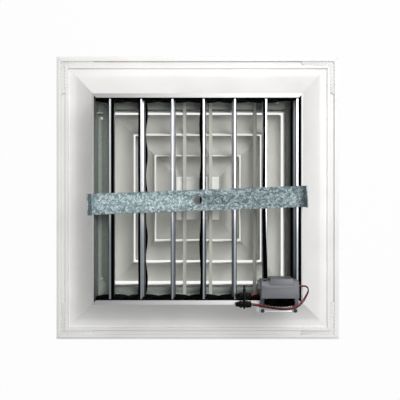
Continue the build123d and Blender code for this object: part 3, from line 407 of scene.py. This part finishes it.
def rounded(half_w, half_h, corner, steps=5):
    """A rounded rectangle: a quarter circle of radius corner about each corner's centre."""
    angle = np.concatenate([np.linspace(q, q + math.pi / 2, steps) for q in np.arange(4) * math.pi / 2])
    sign = np.repeat([[1, 1], [-1, 1], [-1, -1], [1, -1]], steps, axis=0)
    centre = sign * [half_w - corner, half_h - corner]
    return centre + corner * np.stack([np.cos(angle), np.sin(angle)], -1)


def loft_x(y, z, stations, steps=5):
    """Rounded rectangles (x, half width, half height, corner, rise) one after another along X."""
    rings = []
    for x, half_w, half_h, corner, rise in stations:
        outline = rounded(half_w, half_h, corner, steps)
        rings.append(np.column_stack([np.full(len(outline), x), y + outline[:, 0], z + rise + outline[:, 1]]))
    return np.array(rings)


def turned(origin, axis, profile, around=40):
    """A profile of (radius, height) pairs turned about an axis through origin."""
    axis = np.asarray(axis, float)
    side = np.cross(axis, [0, 0, 1] if abs(axis[2]) < 0.9 else [1, 0, 0])
    side /= np.linalg.norm(side)
    angle = np.linspace(0, 2 * math.pi, around, endpoint=False)
    spoke = np.cos(angle)[:, None] * side + np.sin(angle)[:, None] * np.cross(axis, side)
    profile = np.asarray(profile, float)
    return np.asarray(origin) + profile[:, 0, None, None] * spoke + profile[:, 1, None, None] * axis


BODY_OF = {node: body for body, nodes in frame["record"]["behaviour"]["bodies"].items() for node in nodes}
SLOT_OF = {part["node"]: part["material_slot"] for part in frame["record"]["subparts"]}


def ease(piece, width):
    """A bevel of that width in millimetres on a piece's corners, where they turn by 35 degrees."""
    bevel = piece.modifiers.new("eased", "BEVEL")
    bevel.width = width * MM
    bevel.segments = 2
    bevel.limit_method = "ANGLE"
    bevel.angle_limit = math.radians(35)
    bevel.use_clamp_overlap = True
    bevel.harden_normals = True
    return piece


def softened(node, width, materials):
    """A CAD node's own shape with its corners eased by a bevel of that width in millimetres."""
    mesh = frame["nodes"][node].data.copy()
    work = bmesh.new()
    work.from_mesh(mesh)
    bmesh.ops.remove_doubles(work, verts=work.verts, dist=0.002 * MM)
    bmesh.ops.dissolve_limit(work, angle_limit=math.radians(0.5), verts=work.verts, edges=work.edges)
    bmesh.ops.recalc_face_normals(work, faces=work.faces)
    work.to_mesh(mesh)
    work.free()
    mesh.polygons.foreach_set("use_smooth", np.ones(len(mesh.polygons), bool))
    piece = make_piece("eased_" + node, mesh, BODY_OF[node], SLOT_OF[node], materials[SLOT_OF[node]], node)
    return ease(piece, width)


EASED = {"corner_keys": 0.4, "mounting_bridge": 0.25, "actuator_bracket": 0.3, "actuator_base": 0.45,
         "actuator_cover": 0.45, "casing_left": 0.3, "casing_right": 0.3, "casing_front": 0.3,
         "casing_back": 0.3, "core_rib_1": 0.5, "core_rib_2": 0.5, "core_rib_3": 0.5, "core_rib_4": 0.5}


# ---- coved face frame and core ----
FRAME_T = 1.5
RAIL_FLAT = 29.3
RAIL_LEDGE = 13.0
RIDGE_H = 5.5
RIDGE_OUT = 3.5
RIDGE_IN = 19.2
RIDGE_LIP = 4.6
FRAME_COVE = 0.55       # how far the frame's slope bends from straight towards a quarter ellipse
CORE_COVE = 0.75
CORE_T = 1.0
CORE_LIP = 2.0
CORE_STEP = 32.8        # from one cone's top to the next
SCREW_SEAT = 6.0        # flat under the centre screw
PAN_MIDDLE = 0.05       # half width of the cap that closes the pan at its middle
DISH = 1.4              # centre pan's dish between the screw and its lip
HEM_R = 1.2             # bend of a cone's lip
HEM_CORNER = 0.6        # corner radius at the lip's inner edge
CORNER_GROWTH = 0.06    # and what it gains for each millimetre outwards
CORE_NODES = ("core_centre_pan", "core_cone_inner", "core_cone_middle", "core_cone_outer")
RAIL_EDGE = 0.35        # eased corners of the rails


def cove(top, foot, bend, steps=14):
    """(outward, height) points down a slope: a chord blended with a quarter ellipse, steep at its top."""
    t = np.linspace(0, 1, steps)
    out = (1 - bend) * t + bend * (1 - np.cos(t * math.pi / 2))
    down = (1 - bend) * t + bend * np.sin(t * math.pi / 2)
    return np.column_stack([top[0] + (foot[0] - top[0]) * out, top[1] + (foot[1] - top[1]) * down])


def rail_profile():
    """Flat margin, two lipped ridges, coved slope and neck ledge."""
    edge = corners("rail_right")[1][0]
    neck = corners("casing_right")[1][0]
    neck_z = corners("rail_right")[1][2]
    outer = edge - RIDGE_OUT
    inner = edge - RIDGE_IN
    lip = RIDGE_H - FRAME_T
    run = edge - RAIL_FLAT
    ridges = [(edge, 0), (edge, FRAME_T), (outer, FRAME_T), (outer, RIDGE_H), (outer - RIDGE_LIP, RIDGE_H),
              (outer - RIDGE_LIP, lip), (outer - FRAME_T, lip), (outer - FRAME_T, FRAME_T),
              (inner + FRAME_T, FRAME_T), (inner + FRAME_T, lip), (inner + RIDGE_LIP, lip),
              (inner + RIDGE_LIP, RIDGE_H), (inner, RIDGE_H), (inner, FRAME_T)]
    slope = cove((neck, neck_z), (run, FRAME_T), FRAME_COVE)[::-1]
    ledge = [(neck - RAIL_LEDGE, neck_z), (neck - RAIL_LEDGE, neck_z - FRAME_T)]
    under = cove((neck - FRAME_T, neck_z - FRAME_T), (run - FRAME_T, 0), FRAME_COVE)
    return np.concatenate([ridges, slope, ledge, under])


def make_rails(materials):
    """The four mitred rails: each profile point runs between the square's diagonals."""
    profile = rail_profile()
    out, up = profile[:, 0], profile[:, 1]
    for turn, node in enumerate(("rail_right", "rail_back", "rail_left", "rail_front")):
        c, s = round(math.cos(turn * math.pi / 2)), round(math.sin(turn * math.pi / 2))
        ends = [np.column_stack([c * out - s * side * out, s * out + c * side * out, up]) for side in (-1, 1)]
        mesh = mesh_of("coved_" + node, [np.array(ends)], 30)
        rail = make_piece("coved_" + node, mesh, BODY_OF[node], SLOT_OF[node], materials["frame_paint"], node)
        ease(rail, RAIL_EDGE)


def square_rings(profile, corner, steps=6):
    """Each (outward, height) point as a square ring whose corner radius is given point by point."""
    angle = np.linspace(0, math.pi / 2, steps)
    rings = []
    for quarter in range(4):
        turn = angle + quarter * math.pi / 2
        mid = quarter * math.pi / 2 + math.pi / 4
        centre = (profile[:, 0] - corner)[:, None] * math.sqrt(2) * np.array([[math.cos(mid), math.sin(mid)]])
        arc = corner[:, None, None] * np.stack([np.cos(turn), np.sin(turn)], -1)[None]
        rings.append(centre[:, None, :] + arc)
    plan = np.concatenate(rings, axis=1)
    height = np.broadcast_to(profile[:, 1][:, None, None], (*plan.shape[:2], 1))
    return np.concatenate([plan, height], axis=2)


def make_core(materials):
    """The coved cones: a flat lip, a small bend, a coved face, and the same again one sheet below.

    The centre pan is closed instead, and its floor dips as the square root of a sine."""
    for level, node in enumerate(CORE_NODES, 1):
        low, high = corners(node)
        top = CORE_STEP * level
        arc = np.linspace(0, math.pi / 2, 5)
        bend = np.column_stack([top - HEM_R + HEM_R * np.sin(arc), high[2] - HEM_R + HEM_R * np.cos(arc)])
        face = cove((top, high[2] - HEM_R), (high[0], low[2]), CORE_COVE)[1:]
        back = cove((top - CORE_T, high[2] - HEM_R), (high[0] - CORE_T, low[2]), CORE_COVE)[::-1]
        closed = level == 1
        if closed:
            dish = np.linspace(0, 1, 9)
            floor = np.column_stack([SCREW_SEAT + (top - CORE_LIP - SCREW_SEAT) * dish,
                                     high[2] - DISH * np.sin(dish * math.pi) ** 0.5])
            inner = np.concatenate([[(PAN_MIDDLE, high[2])], floor])
            under = np.concatenate([floor[::-1] - [0, CORE_T], [(PAN_MIDDLE, high[2] - CORE_T)]])
        else:
            inner = [(top - CORE_LIP, high[2] - CORE_T), (top - CORE_LIP, high[2])]
            under = np.zeros((0, 2))
        outline = np.concatenate([inner, bend, face, back, under])
        growing = HEM_CORNER + CORNER_GROWTH * (outline[:, 0] - top + CORE_LIP)
        corner = np.minimum(np.clip(growing, 0.02, None), outline[:, 0] * 0.9)
        mesh = mesh_of("coved_" + node, [square_rings(outline, corner)], 50, looped=not closed)
        make_piece("coved_" + node, mesh, BODY_OF[node], SLOT_OF[node], materials["core_paint"], node)


# ---- seals ----
SEAL_ROOT = 1.6         # seal's seat on the blade's bead, from the blade's middle plane
SEAL_T = 1.1
LIP_BELOW = 3.4         # where a lip leaves its bead, below the tip
LIP_RISE = 4.5          # from there to its edge
LIP_CURL = 1.4          # power of its curve
LIP_TAPER = 0.45        # share of its thickness lost at its edge
LIP_SLANT = 0.3         # drop of its outer side, as a share of its thickness
SLIP_BACK = 0.6         # slipped lip: past the bead on its own side
SLIP_WIDTH = 5.2        # its width at the front
SLIP_T = 0.3
SLIP_EDGE = 0.1         # its thinner far edge
SLIP_GAP = 0.03         # over the bead's tip

# blade's lips: edge (1 upper, -1 lower), side (1 right, -1 left), reach, sway, wave length, phase
LIPS = {"seals_1": [(1, 1, 3.6, 0.3, 90, 20)],
        "seals_2": [(1, -1, 1.9, 0.4, 120, 0), (-1, 1, 0.9, 2.6, 62, 96)],
        "seals_4": [(1, -1, 2.3, 1.8, 84, 60), (-1, 1, 0.8, 1.4, 74, 30)],
        "seals_6": [(1, -1, 1.9, 1.6, 210, 90), (-1, 1, 0.8, 2.0, 66, 10)]}


def blade_of(node):
    """The middle X and the lowest and highest Z of the blade that carries a seal."""
    low, high = corners("blade_" + node[-1])
    return (low[0] + high[0]) / 2, low[2], high[2]


def lip_seal(node, edge, side, reach, sway, wave, phase):
    """A rubber lip on a blade's bead. Its middle line leaves the bead as a power of the way up, and
    its reach swells along the blade as a raised cosine with that wave length."""
    low, high = corners(node)
    x, foot, tip = blade_of(node)
    y = np.linspace(low[1], high[1], 220)
    t = np.linspace(0, 1, 9)
    swell = reach + sway * (0.5 - 0.5 * np.cos(2 * math.pi * (y - phase) / wave))
    out = SEAL_ROOT + swell[:, None] * t ** LIP_CURL
    up = LIP_RISE * t - LIP_BELOW
    thick = SEAL_T * (1 - LIP_TAPER * t)
    start = tip if edge > 0 else foot
    near = (x + side * out, y[:, None], start + edge * up)
    far = (x + side * (out + thick), y[:, None], start + edge * (up - LIP_SLANT * thick))
    near, far = (np.stack(np.broadcast_arrays(*surface), -1) for surface in (near, far))
    return np.concatenate([near, far[:, ::-1]], axis=1)


def slipped_lip(node):
    """The part of a lip that has slipped over its bead: its width grows towards the front as the
    cube of the way along."""
    low, high = corners(node)
    x, _, tip = blade_of(node)
    y = np.linspace(high[1], low[1], 120)
    way = (high[1] - y) / (high[1] - low[1])
    left = np.full_like(y, x - SEAL_ROOT - SLIP_BACK)
    right = x - SEAL_ROOT + SLIP_WIDTH * way ** 3
    bottom = tip + SLIP_GAP
    rows = [np.column_stack([a, y, np.full_like(y, z)]) for a, z in
            ((left, bottom), (right, bottom), (right, bottom + SLIP_T - SLIP_EDGE), (left, bottom + SLIP_T))]
    return np.stack(rows, axis=1)


def make_seals(materials):
    """Lips on blades 1, 2, 4 and 6; blade 7's lies along its hub as the CAD strip does."""
    for node, rows in LIPS.items():
        shells = [lip_seal(node, *row) for row in rows]
        if node == "seals_6":
            shells.append(slipped_lip(node))
        mesh = mesh_of("lips_" + node[-1], shells)
        make_piece("lips_" + node[-1], mesh, BODY_OF[node], "black_seal", materials["black_seal"], node)
    softened("seals_7", 0.4, materials)


# ---- plugs, tie and crimps ----
# a plug's body: distance from its nose end, and how much slimmer it is there; ribs alternate
PLUG_STATIONS = np.array([(0, 2.0), (0.5, 1.5), (4.5, 1.3), (5.0, 1.0), (6.0, 0.5), (6.4, 0), (8.4, 0),
                          (8.8, 0.6), (10.4, 0.6), (10.8, 0), (12.8, 0), (13.2, 0.6), (14.8, 0.6),
                          (15.2, 0), (17.2, 0), (17.6, 0.4), (21.4, 0.4), (22.0, 0.9)])
# its latch arm: distance, half height and rise
ARM_STATIONS = [(8, 0.4, -0.2), (9, 0.5, 0.2), (17, 0.5, 0.2), (19, 0.7, 0.3), (20, 0.5, 0.2)]
PLUG_CORNER = 1.0
ARM_HALF_W = 1.6
ARM_CORNER = 0.3
ARM_ROOM = 1.0          # left above the body for the arm
BOSS = [(1.5, 0), (1.5, 0.4), (1.1, 0.5)]
BOSS_APART = 1.1        # from the plug's middle
CRIMP_R = 1.25
CRIMP_H = 0.55
CRIMP_STEP = 5.4
CRIMP_FROM = 2.0        # first crimp to the mitre
CRIMPS = 7


def make_plug(node, materials):
    """A two-way plug: ribbed grip, stepped body, tapered nose, latch arm, and a seal round each wire."""
    low, high = corners(node)
    mid_y = (low[1] + high[1]) / 2
    half_w = (high[1] - low[1]) / 2
    half_h = (high[2] - ARM_ROOM - low[2]) / 2
    mid_z = low[2] + half_h
    body = loft_x(mid_y, mid_z, [(low[0] + along, half_w - slim, half_h - slim, PLUG_CORNER, 0)
                                 for along, slim in PLUG_STATIONS])
    arm = loft_x(mid_y, mid_z + half_h, [(low[0] + along, ARM_HALF_W, half, ARM_CORNER, rise)
                                         for along, half, rise in ARM_STATIONS])
    bosses = [turned((high[0] - 0.1, mid_y + side * BOSS_APART, mid_z), (1, 0, 0), BOSS, 24)
              for side in (-1, 1)]
    return make_piece("moulded_" + node, mesh_of("moulded_" + node, [body, arm, *bosses]), "frame",
                      "black_plug", materials["black_plug"], node)


def make_crimps(materials):
    """Crimps that lock the corner keys: shallow domes, height falling as the square of the radius."""
    half = corners("rail_right")[1][0]
    lips = (half - RIDGE_OUT - RIDGE_LIP, half - RIDGE_IN + RIDGE_LIP)
    share = np.linspace(1, 0.05, 6)
    dome = np.column_stack([CRIMP_R * share, CRIMP_H * (1 - share ** 2)])
    shells = []
    for turn in range(4):
        c, s = round(math.cos(turn * math.pi / 2)), round(math.sin(turn * math.pi / 2))
        for lip in lips:
            for step in range(CRIMPS):
                along = lip - CRIMP_FROM - CRIMP_STEP * step
                for x, y in ((lip, along), (along, lip)):
                    shells.append(turned((c * x - s * y, s * x + c * y, RIDGE_H), (0, 0, 1), dome, 14))
    mesh = mesh_of("key_crimps", shells, 80)
    make_piece("key_crimps", mesh, "frame", "frame_paint", materials["frame_paint"])


# ---- floor and light ----
FLOOR_HALF = 6.0
FLOOR_DROP = 0.0004
FLOOR_GLOW = 0.94       # share of plain white that the camera and glossy rays see


def make_floor():
    """A plain white floor that keeps the object's shadow."""
    mesh = bpy.data.meshes.new("floor")
    turns = ((-1, -1), (1, -1), (1, 1), (-1, 1))
    mesh.from_pydata([(FLOOR_HALF * a, FLOOR_HALF * b, -FLOOR_DROP) for a, b in turns], [], [(0, 1, 2, 3)])
    floor = bpy.data.objects.new("floor", mesh)
    scene.collection.objects.link(floor)
    mat, tree, shader, _ = new_material("white_sweep", Roughness=0.9)
    shader.inputs["Base Color"].default_value = colour("#E6E6E6")
    path = add(tree, "ShaderNodeLightPath").outputs
    seen = add(tree, "ShaderNodeMath", {0: path["Is Camera Ray"], 1: path["Is Glossy Ray"]},
               operation="MAXIMUM")
    share = add(tree, "ShaderNodeMath", {0: seen.outputs[0], 1: FLOOR_GLOW}, operation="MULTIPLY")
    glow = add(tree, "ShaderNodeEmission", {"Color": (1, 1, 1, 1), "Strength": 1.0})
    both = add(tree, "ShaderNodeMixShader", {0: share.outputs[0], 1: shader.outputs[0], 2: glow.outputs[0]})
    tree.links.new(both.outputs[0], tree.nodes["Material Output"].inputs["Surface"])
    mesh.materials.append(mat)


def make_lamp(name, place, target, size, power):
    """A square soft lamp at a place, turned to a target, in metres."""
    data = bpy.data.lights.new(name, "AREA")
    data.size = size
    data.energy = power
    lamp = bpy.data.objects.new(name, data)
    lamp.location = place
    aim = np.array(place) - np.array(target)
    tilt = math.acos(aim[2] / np.linalg.norm(aim))
    lamp.rotation_euler = (tilt, 0, math.atan2(aim[1], aim[0]) + math.pi / 2)
    scene.collection.objects.link(lamp)


def make_light():
    """A broad soft lamp high up at the back right, a weaker one low at the back, and an even sky."""
    world = bpy.data.worlds.new("studio")
    scene.world = world
    world.use_nodes = True
    sky = world.node_tree.nodes["Background"]
    sky.inputs["Color"].default_value = (1, 1, 1, 1)
    sky.inputs["Strength"].default_value = 0.27
    target = (0, 0, 0.05)
    make_lamp("key", (0.5, 0.5, 2.0), target, size=1.0, power=29)
    make_lamp("back", (0.0, 1.25, 1.5), target, size=1.0, power=6)


# ---- build ----
make_camera()
FINISH = make_materials()
dress_nodes(FINISH)
FRONT_PLUG = make_plug("plug_front", FINISH)
BACK_PLUG = make_plug("plug_back", FINISH)
LEADS = [make_lead("lead_red_long", LONG_RED, "red_sleeve"),
         make_lead("lead_black_long", LONG_BLACK, "black_sleeve"),
         make_lead("lead_red_short", SHORT_RED, "red_sleeve"),
         make_lead("lead_black_short", SHORT_BLACK, "black_sleeve")]
for lead in LEADS:
    lead.data.materials.append(FINISH[lead["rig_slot"]])
softened("cable_tie", 0.3, FINISH)
make_seals(FINISH)
make_crimps(FINISH)
make_rails(FINISH)
make_core(FINISH)
# the core's ribs take the copy of the core's coat with painted shade
RIB_SHADED_FINISH = FINISH | {"core_paint": FINISH["shaded_rib_coat"]}
for node, width in EASED.items():
    softened(node, width, RIB_SHADED_FINISH)
make_floor()
make_light()
scene.view_settings.view_transform = "Standard"
